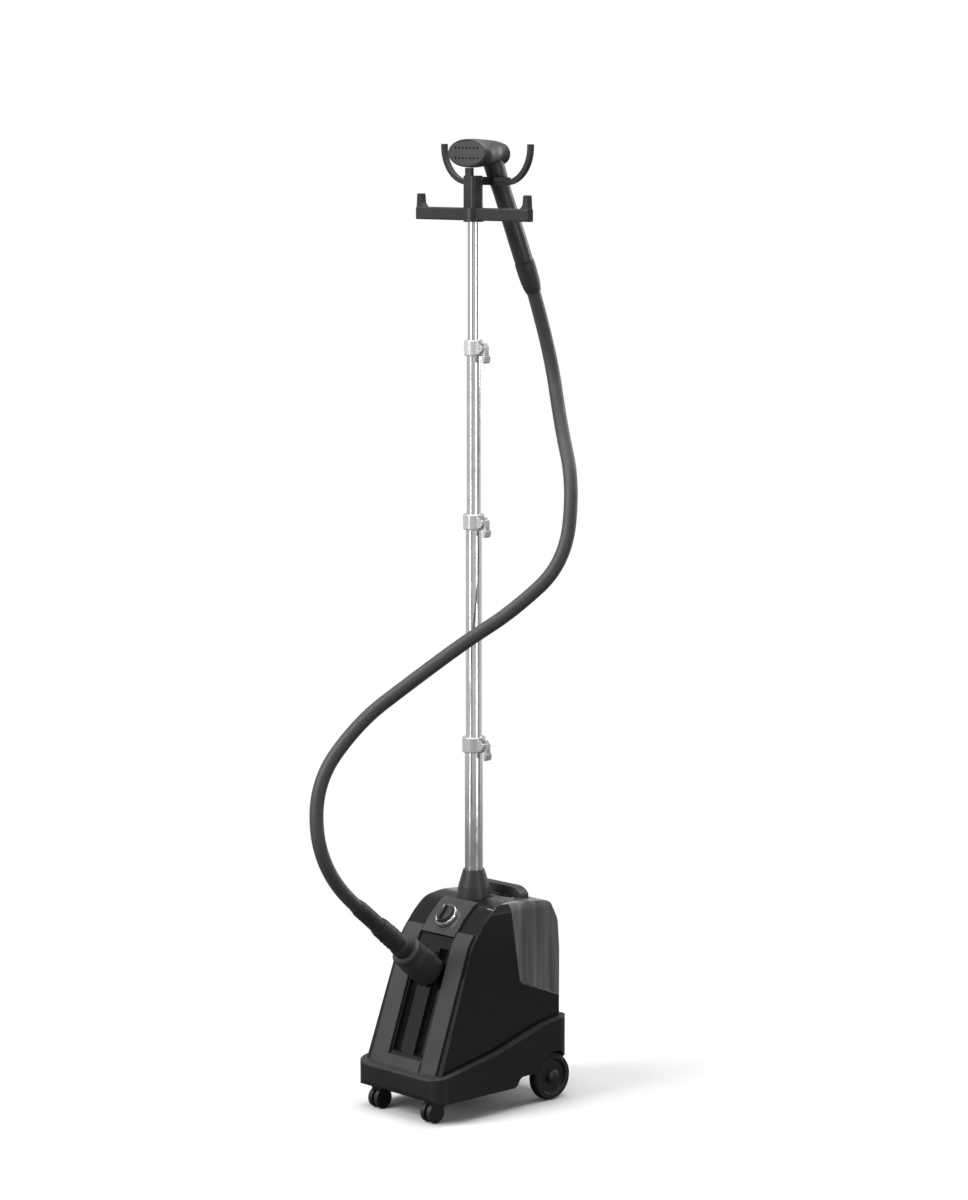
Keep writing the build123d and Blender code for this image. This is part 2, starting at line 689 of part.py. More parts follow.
def tank_cap():
    """The screw cap on the tank's neck, with the bridge that backs the valve's spring."""
    cup = rod(17.4, 161, 173) - rod(14.2, 163.5, 180)
    bridge = ring(10, 4, 178, 180)
    for side in (-1, 1):
        bridge += Pos(side * 8.3, 0, 0) * rod(1, 163, 179)
    return at_valve(cup + bridge - rod(3.1, 150, 170))


def valve_plunger():
    return at_valve(rod(3.0, 154.8, 173) + rod(6.9, 167.8, 170))


def valve_spring():
    """The spring that closes the tank's valve."""
    turns = Helix(pitch=1.8, height=6.4, radius=5.2)
    start = Plane(origin=turns @ 0, z_dir=turns % 0)
    coil = sweep(start * Circle(0.45), path=turns)
    return at_valve(Pos(0, 0, 170.7) * coil)


# ---------------------------------------------------------------- the whole object
def build_base():
    save("base_pan", base_pan())
    save("housing", housing())
    save("front_bands", front_bands())
    save("front_lip", front_lip())
    save("console_panel", console())
    save("hose_socket", hose_socket())
    save("hose_cuff_lower", hose_cuff_lower())
    save("pole_socket", pole_socket())
    save("dial_bezel", dial_bezel())
    save("dial_knob", dial_knob())
    save("dial_switch", dial_switch())
    save("housing_screws", housing_screws())


def build_works():
    save("boiler", boiler())
    save("thermostat", thermostat())
    save("thermal_fuse", thermal_fuse())
    save("pump", pump())
    save("terminal_block", terminal_block())
    save("inlet_tube", inlet_tube())
    save("feed_tube", feed_tube())
    save("steam_tube", steam_tube())
    save("valve_seat", valve_seat())
    save("cord_gland", cord_gland())


def build_wheels():
    save("rear_axle", rear_axle())
    for side, name in ((-1, "left"), (1, "right")):
        save(f"rear_wheel_{name}", rear_wheel(side))
        save(f"rear_tyre_{name}", rear_tyre(side))
        save(f"caster_fork_{name}", caster_fork(side))
        save(f"caster_wheels_{name}", caster_wheels(side))


def build_pole():
    for i in range(4):
        save(f"pole_tube_{i + 1}", pole_tube(i))
    for i in range(3):
        save(f"clamp_collar_{i + 1}", clamp_collar(i))
        save(f"clamp_pin_{i + 1}", clamp_pin(i))
        save(f"clamp_lever_{i + 1}", clamp_lever(i))
        save(f"guide_bush_{i + 2}", guide_bush(i + 1))
    save("hanger_bar", hanger_bar())
    save("head_cradle", head_cradle())


def build_head():
    save("head_shell", head_shell())
    save("head_plate", head_plate())
    save("head_handle", head_handle())
    save("hose_cuff_upper", hose_cuff_upper())
    save("steam_hose", steam_hose())


def build_tank():
    save("tank_shell", tank_shell())
    save("tank_handle", tank_handle())
    save("tank_cap", tank_cap())
    save("valve_plunger", valve_plunger())
    save("valve_spring", valve_spring())


build_base()
build_works()
build_wheels()
build_pole()
build_head()
build_tank()
write_all()
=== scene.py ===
"""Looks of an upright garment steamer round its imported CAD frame: hose, trims, finishes, floor, lights and camera."""
import json
import math

import bmesh
import bpy
from mathutils import Matrix, Vector


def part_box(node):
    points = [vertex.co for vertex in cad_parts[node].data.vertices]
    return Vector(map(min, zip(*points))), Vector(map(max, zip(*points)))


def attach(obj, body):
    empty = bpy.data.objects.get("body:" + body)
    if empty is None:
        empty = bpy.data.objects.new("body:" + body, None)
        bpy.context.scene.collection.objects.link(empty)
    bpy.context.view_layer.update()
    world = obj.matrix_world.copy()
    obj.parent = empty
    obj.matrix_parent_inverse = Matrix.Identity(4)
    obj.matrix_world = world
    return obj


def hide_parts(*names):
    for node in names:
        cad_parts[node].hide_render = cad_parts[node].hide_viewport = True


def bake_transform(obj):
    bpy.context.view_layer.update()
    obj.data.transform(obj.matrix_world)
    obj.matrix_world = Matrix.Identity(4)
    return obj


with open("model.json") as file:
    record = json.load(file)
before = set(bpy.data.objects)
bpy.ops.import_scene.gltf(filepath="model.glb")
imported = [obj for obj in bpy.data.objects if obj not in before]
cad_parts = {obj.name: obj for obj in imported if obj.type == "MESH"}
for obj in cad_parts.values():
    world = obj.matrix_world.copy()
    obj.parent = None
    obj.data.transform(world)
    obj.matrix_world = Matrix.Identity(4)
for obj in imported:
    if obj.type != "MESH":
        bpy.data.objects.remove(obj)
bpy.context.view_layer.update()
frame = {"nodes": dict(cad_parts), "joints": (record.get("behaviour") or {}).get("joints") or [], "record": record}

bl_info = {
    "name": "Garment steamer",
    "version": (1, 0, 0),
    "blender": (4, 5, 0),
    "location": "View3D > Sidebar > Steamer",
    "description": "Dresses the garment steamer's frame with its hose, trims, finishes and studio",
    "category": "Object",
}

NODES = frame["nodes"]
MM = 0.001
JOINTS = {j["name"]: j for j in frame["joints"]}


def centre(node):
    """Middle of a CAD node's box."""
    low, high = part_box(node)
    return (low + high) / 2


POLE = Vector((centre("pole_tube_1").x, centre("pole_tube_1").y, 0))


def at_pole(x, y, z):
    """A place given in millimetres from the foot of the pole's axis."""
    return POLE + Vector((x, y, z)) * MM


# ---------------------------------------------------------------- sizes and colours a user would change
class HoseSettings(bpy.types.PropertyGroup):
    """The steam hose"""
    diameter: bpy.props.FloatProperty(
        name="Diameter", description="Outside of the hose", default=0.022, min=0.01, max=0.04, subtype="DISTANCE",
        unit="LENGTH")
    around: bpy.props.IntProperty(name="Sides", description="Faces round the hose", default=28, min=8, max=64)
    strands: bpy.props.IntProperty(
        name="Strands", description="Braid strands counted round the sleeve", default=26, min=8, max=80)


class TrimSettings(bpy.types.PropertyGroup):
    """Small moulded details"""
    cuff_ribs: bpy.props.IntProperty(
        name="Cuff ribs", description="Ribs on each hose cuff", default=9, min=2, max=30)
    tread_blocks: bpy.props.IntProperty(
        name="Tread blocks", description="Grooved blocks round each rear tyre", default=44, min=12, max=90)
    dial_marks: bpy.props.IntProperty(
        name="Dial marks", description="Ticks round the steam dial", default=11, min=3, max=31)
    grip_rows: bpy.props.IntProperty(
        name="Grip rows", description="Fine rings along the handle", default=13, min=3, max=40)


class StudioSettings(bpy.types.PropertyGroup):
    """Camera and light"""
    azimuth: bpy.props.FloatProperty(
        name="Azimuth", description="Camera's turn from the front towards the right", default=math.radians(46.85),
        subtype="ANGLE", unit="ROTATION")
    distance: bpy.props.FloatProperty(
        name="Distance", description="From the pole to the camera, level", default=5.83, unit="LENGTH")
    height: bpy.props.FloatProperty(
        name="Height", description="Camera above the floor", default=1.556, unit="LENGTH")
    pitch: bpy.props.FloatProperty(
        name="Pitch", description="Camera's tilt below level", default=math.radians(7.28), subtype="ANGLE",
        unit="ROTATION")
    lens: bpy.props.FloatProperty(name="Lens", description="Focal length in millimetres", default=111.0)
    floor: bpy.props.FloatVectorProperty(
        name="Floor", description="Colour of the floor", default=(0.78, 0.78, 0.78), subtype="COLOR", size=3)
    key: bpy.props.FloatProperty(name="Key light", description="Power of the main softbox", default=110.0)


class FinishSettings(bpy.types.PropertyGroup):
    """Colours of the main finishes"""
    shell: bpy.props.FloatVectorProperty(
        name="Shell", description="Glossy housing", default=(0.0035, 0.0035, 0.004), subtype="COLOR", size=3)
    band: bpy.props.FloatVectorProperty(
        name="Bands", description="Satin trim strips", default=(0.045, 0.045, 0.048), subtype="COLOR", size=3)
    grip: bpy.props.FloatVectorProperty(
        name="Grip", description="Handles and socket", default=(0.028, 0.028, 0.03), subtype="COLOR", size=3)
    tank: bpy.props.FloatVectorProperty(
        name="Tank", description="Smoky tank wall", default=(0.17, 0.17, 0.178), subtype="COLOR", size=3)
    hose: bpy.props.FloatVectorProperty(
        name="Hose", description="Hose sleeve", default=(0.024, 0.024, 0.026), subtype="COLOR", size=3)


# ---------------------------------------------------------------- shared shader groups
def new_group(name, inputs, outputs):
    """An empty shader group with named float inputs (name, default) and typed outputs (name, socket type)."""
    group = bpy.data.node_groups.new(name, "ShaderNodeTree")
    for label, value in inputs:
        socket = group.interface.new_socket(name=label, in_out="INPUT", socket_type="NodeSocketFloat")
        socket.default_value = value
    for label, kind in outputs:
        group.interface.new_socket(name=label, in_out="OUTPUT", socket_type=kind)
    return group


def add(tree, kind, links=(), **settings):
    """Adds a node, sets its properties or unlinked inputs, and links (socket, source) pairs."""
    node = tree.nodes.new(kind)
    for key, value in settings.items():
        if hasattr(node, key):
            setattr(node, key, value)
        else:
            node.inputs[key].default_value = value
    for socket, source in links:
        tree.links.new(source, node.inputs[socket])
    return node


def math_node(tree, operation, a, b=None, clamp=False):
    """A Math node on sockets or numbers."""
    node = tree.nodes.new("ShaderNodeMath")
    node.operation = operation
    node.use_clamp = clamp
    for index, value in enumerate((a, b)):
        if value is None:
            continue
        if isinstance(value, (int, float)):
            node.inputs[index].default_value = value
        else:
            tree.links.new(value, node.inputs[index])
    return node.outputs[0]


def grain_group():
    """Fine moulded texture: a height to bump, and a slow mottle to vary gloss."""
    group = new_group("grain", [("Fine", 900.0), ("Coarse", 14.0)],
                      [("Height", "NodeSocketFloat"), ("Mottle", "NodeSocketFloat")])
    ins, outs = group.nodes.new("NodeGroupInput"), group.nodes.new("NodeGroupOutput")
    where = group.nodes.new("ShaderNodeTexCoord").outputs["Object"]
    fine = add(group, "ShaderNodeTexNoise", [("Vector", where), ("Scale", ins.outputs["Fine"])], Detail=3.0)
    coarse = add(group, "ShaderNodeTexNoise", [("Vector", where), ("Scale", ins.outputs["Coarse"])], Detail=5.0)
    group.links.new(fine.outputs[0], outs.inputs["Height"])
    group.links.new(coarse.outputs[0], outs.inputs["Mottle"])
    return group


def edge_group():
    """Where the surface turns sharply: a mask of edges for scuffs and for painted highlight, and a softened normal."""
    group = new_group("edge_wear", [("Width", 0.0012), ("Break", 60.0)],
                      [("Edge", "NodeSocketFloat"), ("Normal", "NodeSocketVector")])
    ins, outs = group.nodes.new("NodeGroupInput"), group.nodes.new("NodeGroupOutput")
    soft = add(group, "ShaderNodeBevel", [("Radius", ins.outputs["Width"])], samples=4)
    flat = group.nodes.new("ShaderNodeNewGeometry")
    dot = add(group, "ShaderNodeVectorMath", [(0, soft.outputs[0]), (1, flat.outputs["Normal"])],
              operation="DOT_PRODUCT")
    bend = math_node(group, "SUBTRACT", 1.0, dot.outputs["Value"])
    where = group.nodes.new("ShaderNodeTexCoord").outputs["Object"]
    patch = add(group, "ShaderNodeTexNoise", [("Vector", where), ("Scale", ins.outputs["Break"])], Detail=4.0)
    worn_and_lit = math_node(group, "MULTIPLY", math_node(group, "MULTIPLY", bend, 7.0, True), patch.outputs[0], True)
    group.links.new(worn_and_lit, outs.inputs["Edge"])
    group.links.new(soft.outputs[0], outs.inputs["Normal"])
    return group


def dust_group():
    """Light dust that settles on faces that look up."""
    group = new_group("dust", [("Scale", 45.0), ("Amount", 0.2)], [("Dust", "NodeSocketFloat")])
    ins, outs = group.nodes.new("NodeGroupInput"), group.nodes.new("NodeGroupOutput")
    up = add(group, "ShaderNodeSeparateXYZ", [(0, group.nodes.new("ShaderNodeNewGeometry").outputs["Normal"])])
    where = group.nodes.new("ShaderNodeTexCoord").outputs["Object"]
    cloud = add(group, "ShaderNodeTexNoise", [("Vector", where), ("Scale", ins.outputs["Scale"])], Detail=6.0)
    level = math_node(group, "MULTIPLY", math_node(group, "MAXIMUM", up.outputs["Z"], 0.0), cloud.outputs[0])
    group.links.new(math_node(group, "MULTIPLY", level, ins.outputs["Amount"], True), outs.inputs["Dust"])
    return group


def braid_group():
    """Two families of strands that cross at a slant, on the sleeve's own lengthways and round-about map."""
    group = new_group("braid", [("Strands", 26.0), ("Pitch", 26.0)],
                      [("Height", "NodeSocketFloat"), ("Gap", "NodeSocketFloat")])
    ins, outs = group.nodes.new("NodeGroupInput"), group.nodes.new("NodeGroupOutput")
    uv = add(group, "ShaderNodeSeparateXYZ", [(0, group.nodes.new("ShaderNodeTexCoord").outputs["UV"])])
    round_about = math_node(group, "MULTIPLY", uv.outputs["Y"], ins.outputs["Strands"])
    lengthways = math_node(group, "MULTIPLY", uv.outputs["X"], ins.outputs["Pitch"])
    waves = []
    for operation in ("ADD", "SUBTRACT"):
        phase = math_node(group, "MULTIPLY", math_node(group, operation, round_about, lengthways), math.tau)
        wave = math_node(group, "SINE", phase)
        waves.append(math_node(group, "ABSOLUTE", wave))
    height = math_node(group, "MAXIMUM", waves[0], waves[1])
    gap = math_node(group, "SUBTRACT", 1.0, height, True)
    group.links.new(height, outs.inputs["Height"])
    group.links.new(gap, outs.inputs["Gap"])
    return group


GROUPS = {}


def place_group(tree, name, **values):
    node = tree.nodes.new("ShaderNodeGroup")
    node.node_tree = GROUPS[name]
    for key, value in values.items():
        node.inputs[key].default_value = value
    return node


# ---------------------------------------------------------------- finishes
def finish(name, color, rough, spread=0.06, grain=0.05, fine=900.0, coarse=14.0, worn_and_lit=None, wear=0.5, width=0.0012,
           dust=0.12, metallic=0.0, **shader):
    """A moulded or metal finish: mottled gloss, fine grain, scuffed edges with painted highlight, and a little dust.

    color is the base, worn_and_lit the colour of scuffed edges with painted highlight; rough and spread are the gloss
    and how far it varies.
    """
    material = bpy.data.materials.new(name)
    material.use_nodes = True
    tree = material.node_tree
    skin = tree.nodes["Principled BSDF"]
    grained = place_group(tree, "grain", Fine=fine, Coarse=coarse)
    edges = place_group(tree, "edge_wear", Width=width)
    dusty = place_group(tree, "dust", Amount=dust)
    shade = add(tree, "ShaderNodeMix", [("Factor", grained.outputs["Mottle"])], data_type="RGBA")
    shade.inputs[6].default_value = (*[c * 0.8 for c in color], 1)
    shade.inputs[7].default_value = (*[min(1, c * 1.2) for c in color], 1)
    # scuffed edges with painted highlight: the edge mask lightens the colour towards worn_and_lit
    scuffed_and_lit = add(tree, "ShaderNodeMix", data_type="RGBA")
    tree.links.new(math_node(tree, "MULTIPLY", edges.outputs["Edge"], wear, True), scuffed_and_lit.inputs["Factor"])
    tree.links.new(shade.outputs[2], scuffed_and_lit.inputs[6])
    scuffed_and_lit.inputs[7].default_value = (*(worn_and_lit or [min(1, c * 2.2 + 0.01) for c in color]), 1)
    settled = add(tree, "ShaderNodeMix", [("Factor", dusty.outputs["Dust"])], data_type="RGBA")
    tree.links.new(scuffed_and_lit.outputs[2], settled.inputs[6])
    settled.inputs[7].default_value = (0.32, 0.31, 0.3, 1)
    tree.links.new(settled.outputs[2], skin.inputs["Base Color"])
    varied = add(tree, "ShaderNodeMapRange", [("Value", grained.outputs["Mottle"])])
    varied.inputs["From Min"].default_value = 0.3
    varied.inputs["From Max"].default_value = 0.7
    varied.inputs["To Min"].default_value = max(0.02, rough - spread)
    varied.inputs["To Max"].default_value = min(1.0, rough + spread)
    gloss = math_node(tree, "ADD", varied.outputs[0], math_node(tree, "MULTIPLY", dusty.outputs["Dust"], 0.5), True)
    tree.links.new(gloss, skin.inputs["Roughness"])
    bump = add(tree, "ShaderNodeBump", [("Height", grained.outputs["Height"]), ("Normal", edges.outputs["Normal"])],
               Strength=grain, Distance=0.0006)
    tree.links.new(bump.outputs[0], skin.inputs["Normal"])
    skin.inputs["Metallic"].default_value = metallic
    for key, value in shader.items():
        skin.inputs[key.replace("_", " ")].default_value = value
    return material


def hose_finish(settings):
    """A matte braided sleeve with painted shade between its strands."""
    material = bpy.data.materials.new("hose_sleeve")
    material.use_nodes = True
    tree = material.node_tree
    skin = tree.nodes["Principled BSDF"]
    braid = place_group(tree, "braid", Strands=float(settings.hose.strands), Pitch=220.0)
    grained = place_group(tree, "grain", Fine=1400.0, Coarse=25.0)
    color = settings.finishes.hose
    # painted shade between the strands: the colour drops to about a third in the gaps and lifts on the strand tops
    shade = add(tree, "ShaderNodeMix", [("Factor", braid.outputs["Gap"])], data_type="RGBA")
    shade.inputs[6].default_value = (*[c * 1.35 for c in color], 1)
    shade.inputs[7].default_value = (*[c * 0.35 for c in color], 1)
    mottled = add(tree, "ShaderNodeMix", [("Factor", grained.outputs["Mottle"]), (6, shade.outputs[2])],
                  data_type="RGBA")
    mottled.inputs[7].default_value = (*[c * 1.1 for c in color], 1)
    tree.links.new(mottled.outputs[2], skin.inputs["Base Color"])
    rough = math_node(tree, "ADD", math_node(tree, "MULTIPLY", braid.outputs["Gap"], 0.25), 0.48, True)
    tree.links.new(rough, skin.inputs["Roughness"])
    bump = add(tree, "ShaderNodeBump", [("Height", braid.outputs["Height"])], Strength=0.35, Distance=0.0004)
    tree.links.new(bump.outputs[0], skin.inputs["Normal"])
    skin.inputs["Sheen Weight"].default_value = 0.15
    return material


def chrome_finish():
    """Bright plated tube with faint lengthways polishing lines."""
    material = finish("chrome", (0.82, 0.82, 0.84), 0.12, spread=0.05, grain=0.0, coarse=40.0, wear=0.1,
                      worn_and_lit=(0.9, 0.9, 0.92), dust=0.0, metallic=1.0)
    tree = material.node_tree
    where = tree.nodes.new("ShaderNodeTexCoord").outputs["Object"]
    stretched = add(tree, "ShaderNodeMapping", [("Vector", where)], Scale=(1500.0, 1500.0, 6.0))
    lines = add(tree, "ShaderNodeTexNoise", [("Vector", stretched.outputs[0])], Scale=1.0, Detail=2.0)
    bump = next(n for n in tree.nodes if n.bl_idname == "ShaderNodeBump")
    tree.links.new(lines.outputs[0], bump.inputs["Height"])
    bump.inputs["Strength"].default_value = 0.05
    return material


def tank_finish(settings):
    """Smoky plastic, frosted a little, with faint upright painted highlight streaks."""
    material = finish("smoke_tank", settings.finishes.tank, 0.16, spread=0.04, grain=0.02, wear=0.35,
                      worn_and_lit=(0.35, 0.35, 0.36), dust=0.15, width=0.0015)
    tree = material.node_tree
    skin = tree.nodes["Principled BSDF"]
    where = tree.nodes.new("ShaderNodeTexCoord").outputs["Object"]
    # painted highlight streaks: stretched noise swings the tank's colour between half and one and a half times its base
    tall = add(tree, "ShaderNodeMapping", [("Vector", where)], Scale=(42.0, 42.0, 3.0))
    painted_highlight_streak = add(tree, "ShaderNodeTexNoise", [("Vector", tall.outputs[0])], Scale=1.0, Detail=2.0)
    spread = add(tree, "ShaderNodeMapRange", [("Value", painted_highlight_streak.outputs[0])])
    spread.inputs["From Min"].default_value = 0.35
    spread.inputs["From Max"].default_value = 0.65
    first = next(n for n in tree.nodes if n.bl_idname == "ShaderNodeMix")
    tree.links.new(spread.outputs[0], first.inputs["Factor"])
    first.inputs[6].default_value = (*[c * 0.5 for c in settings.finishes.tank], 1)
    first.inputs[7].default_value = (*[c * 1.5 for c in settings.finishes.tank], 1)
    skin.inputs["Transmission Weight"].default_value = 0.25
    skin.inputs["IOR"].default_value = 1.5
    skin.inputs["Coat Weight"].default_value = 0.3
    return material


def make_finishes(settings):
    """Every material, by the record's slot name."""
    GROUPS.update(grain=grain_group(), edge_wear=edge_group(), dust=dust_group(), braid=braid_group())
    shell, band, grip = settings.finishes.shell, settings.finishes.band, settings.finishes.grip
    return {
        "gloss_black": finish("gloss_black", shell, 0.09, spread=0.04, grain=0.012, dust=0.05, width=0.002,
                              Coat_Weight=0.6, Coat_Roughness=0.03),
        "chassis_black": finish("chassis_black", (0.012, 0.012, 0.013), 0.36, grain=0.12, fine=700.0, wear=0.6,
                                dust=0.14),
        "satin_grey": finish("satin_grey", band, 0.3, spread=0.05, grain=0.06, fine=1200.0, dust=0.08),
        "handle_grey": finish("handle_grey", grip, 0.42, spread=0.07, grain=0.18, fine=800.0, dust=0.1),
        "smoke_tank": tank_finish(settings),
        "chrome": chrome_finish(),
        "clamp_silver": finish("clamp_silver", (0.5, 0.5, 0.51), 0.24, grain=0.04, wear=0.4, dust=0.05,
                               metallic=0.3),
        "rubber_black": finish("rubber_black", (0.02, 0.02, 0.021), 0.55, grain=0.2, fine=500.0, dust=0.14),
        "hose_sleeve": hose_finish(settings),
        "wheel_plastic": finish("wheel_plastic", (0.022, 0.022, 0.024), 0.38, grain=0.12, wear=0.7, dust=0.16),
        "tyre": finish("tyre", (0.014, 0.014, 0.014), 0.72, grain=0.35, fine=420.0, wear=0.8,
                       worn_and_lit=(0.07, 0.07, 0.068), dust=0.22),
        "steel": finish("steel", (0.5, 0.5, 0.51), 0.28, grain=0.05, dust=0.0, metallic=1.0),
        "cast_aluminium": finish("cast_aluminium", (0.58, 0.58, 0.6), 0.4, grain=0.25, fine=350.0, dust=0.04,
                                 metallic=1.0),
        "nylon": finish("nylon", (0.72, 0.7, 0.66), 0.45, grain=0.08),
        "silicone": finish("silicone", (0.6, 0.6, 0.58), 0.35, grain=0.03, Subsurface_Weight=0.1),
        "dark_seam": finish("dark_seam", (0.004, 0.004, 0.004), 0.6, grain=0.1, dust=0.2),
        "pale_mark": finish("pale_mark", (0.55, 0.55, 0.55), 0.5, grain=0.05, dust=0.0),
    }


FINISHES = {}


# ---------------------------------------------------------------- mesh helpers
def new_piece(name, data, body, material):
    """Links a finished mesh as a piece that rides on a body."""
    piece = bpy.data.objects.new(name, data)
    bpy.context.scene.collection.objects.link(piece)
    data.materials.clear()
    data.materials.append(FINISHES[material])
    if body:
        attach(piece, body)
    return piece


def smooth(data, angle=35):
    """Smooth shading that keeps edges sharper than the angle, in degrees."""
    data.shade_smooth()
    data.set_sharp_from_angle(angle=math.radians(angle))


def lathe(outline, steps=64):
    """A closed turned mesh about Z from an (r, z) outline in metres; points on the axis are merged."""
    mesh = bmesh.new()
    rings = []
    for i in range(steps):
        turn = math.tau * i / steps
        rings.append([mesh.verts.new((r * math.cos(turn), r * math.sin(turn), z)) for r, z in outline])
    count = len(outline)
    for i in range(steps):
        here, there = rings[i], rings[(i + 1) % steps]
        for k in range(count):
            quad = (here[k], there[k], there[(k + 1) % count], here[(k + 1) % count])
            mesh.faces.new(quad)
    bmesh.ops.remove_doubles(mesh, verts=mesh.verts, dist=1e-6)
    bmesh.ops.dissolve_degenerate(mesh, dist=1e-7, edges=mesh.edges)
    bmesh.ops.recalc_face_normals(mesh, faces=mesh.faces)
    data = bpy.data.meshes.new("turned")
    mesh.to_mesh(data)
    mesh.free()
    smooth(data)
    return data


def axis_frame(origin, direction, side=(1, 0, 0)):
    """A matrix that puts local Z along a direction at an origin, with local X near the side given."""
    z = Vector(direction).normalized()
    y = z.cross(Vector(side)).normalized()
    x = y.cross(z)
    turn = Matrix((x, y, z)).transposed().to_4x4()
    return Matrix.Translation(origin) @ turn


# ---------------------------------------------------------------- steam hose
HOSE_ROUTE = [
    (0, -251, 352.6), (-4, -318, 409), (-34, -310, 543), (-14, -234, 638), (25, -156, 699), (63, -77, 758),
    (101, -10, 804), (144, 62, 878), (124, 99, 998), (60, 134, 1084), (3, 165, 1202), (0, 130.6, 1296.7),
]


def route_line(points):
    """Points along the smooth NURBS line that a route controls."""
    curve = bpy.data.curves.new("route", "CURVE")
    curve.dimensions = "3D"
    curve.resolution_u = 24
    spline = curve.splines.new("NURBS")
    spline.points.add(len(points) - 1)
    for point, place in zip(spline.points, points):
        point.co = (*place, 1)
    spline.order_u = 3
    spline.use_endpoint_u = True
    holder = bpy.data.objects.new("route", curve)
    bpy.context.scene.collection.objects.link(holder)
    bpy.context.view_layer.update()
    line = bpy.data.meshes.new_from_object(holder)
    places = [v.co.copy() for v in line.vertices]
    bpy.data.objects.remove(holder)
    bpy.data.meshes.remove(line)
    return places


def rings_along(line, radius, around):
    """Centre, frame and travelled length for a ring at each point, with no twist between them."""
    rings, travelled = [], 0.0
    side = Vector((1, 0, 0))
    for i, place in enumerate(line):
        ahead = (line[min(i + 1, len(line) - 1)] - line[max(i - 1, 0)]).normalized()
        side = (side - ahead * side.dot(ahead)).normalized()
        other = ahead.cross(side)
        if i:
            travelled += (place - line[i - 1]).length
        turns = [math.tau * k / around for k in range(around)]
        ring = [place + (side * math.cos(t) + other * math.sin(t)) * radius for t in turns]
        rings.append((ring, travelled))
    return rings


def tube_mesh(name, rings, around, start_at):
    """A closed tube through rings, mapped lengthways in metres and round about from 0 to 1."""
    mesh = bmesh.new()
    uv = mesh.loops.layers.uv.new("sleeve")
    rows = [[mesh.verts.new(p) for p in ring] for ring, _ in rings]
    for i in range(len(rows) - 1):
        u0, u1 = start_at + rings[i][1], start_at + rings[i + 1][1]
        for k in range(around):
            n = (k + 1) % around
            face = mesh.faces.new((rows[i][k], rows[i][n], rows[i + 1][n], rows[i + 1][k]))
            marks = ((u0, k / around), (u0, (k + 1) / around), (u1, (k + 1) / around), (u1, k / around))
            for loop, mark in zip(face.loops, marks):
                loop[uv].uv = mark
    for row, flip in ((rows[0], True), (rows[-1], False)):
        mesh.faces.new(list(reversed(row)) if flip else row)
    data = bpy.data.meshes.new(name)
    mesh.normal_update()
    mesh.to_mesh(data)
    mesh.free()
    smooth(data, 60)
    return data


def nearest(line, place):
    """Index of the line's point nearest to a place."""
    return min(range(len(line)), key=lambda i: (line[i] - place).length)


# Each stretch of hose: name, the bodies at its two ends, where it ends, and where its bending starts and stops.
HOSE_STRETCHES = [
    ("hose_lower", "base", "pole_2", (62, -80, 755), (-20, -275, 600), (50, -100, 600)),
    ("hose_crossing", "pole_2", "pole_3", (131, 90, 960), (75, -62, 800), (132, 62, 800)),
    ("hose_upper", "pole_3", "pole_4", (31.5, 149.5, 1143), (124, 98, 1000), (46, 142, 1000)),
    ("hose_top", "pole_4", "steam_head", None, (20, 158, 1172), (3, 138, 1284)),
]


class STEAMER_OT_hose(bpy.types.Operator):
    """Steam hose in four stretches along one smooth route"""
    bl_idname = "steamer.hose"
    bl_label = "Steam hose"

    def execute(self, context):
        hose = context.scene.steamer.hose
        line = route_line([at_pole(*p) for p in HOSE_ROUTE])
        rings = rings_along(line, hose.diameter / 2, hose.around)
        begin = 0
        for name, low, high, stop, start, end in HOSE_STRETCHES:
            last = nearest(line, at_pole(*stop)) if stop else len(line) - 1
            part = [(ring, along - rings[begin][1]) for ring, along in rings[begin:last + 1]]
            data = tube_mesh(name, part, hose.around, rings[begin][1])
            piece = new_piece(name, data, None, "hose_sleeve")
            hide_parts("steam_hose")
            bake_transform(piece)
            begin = last
        return {"FINISHED"}


# ---------------------------------------------------------------- geometry node trees
def geometry_tree(name, inputs):
    """A Geometry Nodes group with a geometry output and named inputs (name, socket type, default)."""
    tree = bpy.data.node_groups.new(name, "GeometryNodeTree")
    tree.interface.new_socket(name="Geometry", in_out="OUTPUT", socket_type="NodeSocketGeometry")
    for label, kind, value in inputs:
        socket = tree.interface.new_socket(name=label, in_out="INPUT", socket_type=kind)
        if value is not None:
            socket.default_value = value
    return tree, tree.nodes.new("NodeGroupInput"), tree.nodes.new("NodeGroupOutput")


def close_tree(tree, ins, outs, geometry):
    """Ends a tree in Realize Instances and Set Material."""
    real = add(tree, "GeometryNodeRealizeInstances", [("Geometry", geometry)])
    painted = add(tree, "GeometryNodeSetMaterial",
                  [("Geometry", real.outputs[0]), ("Material", ins.outputs["Material"])])
    tree.links.new(painted.outputs[0], outs.inputs["Geometry"])
    return tree


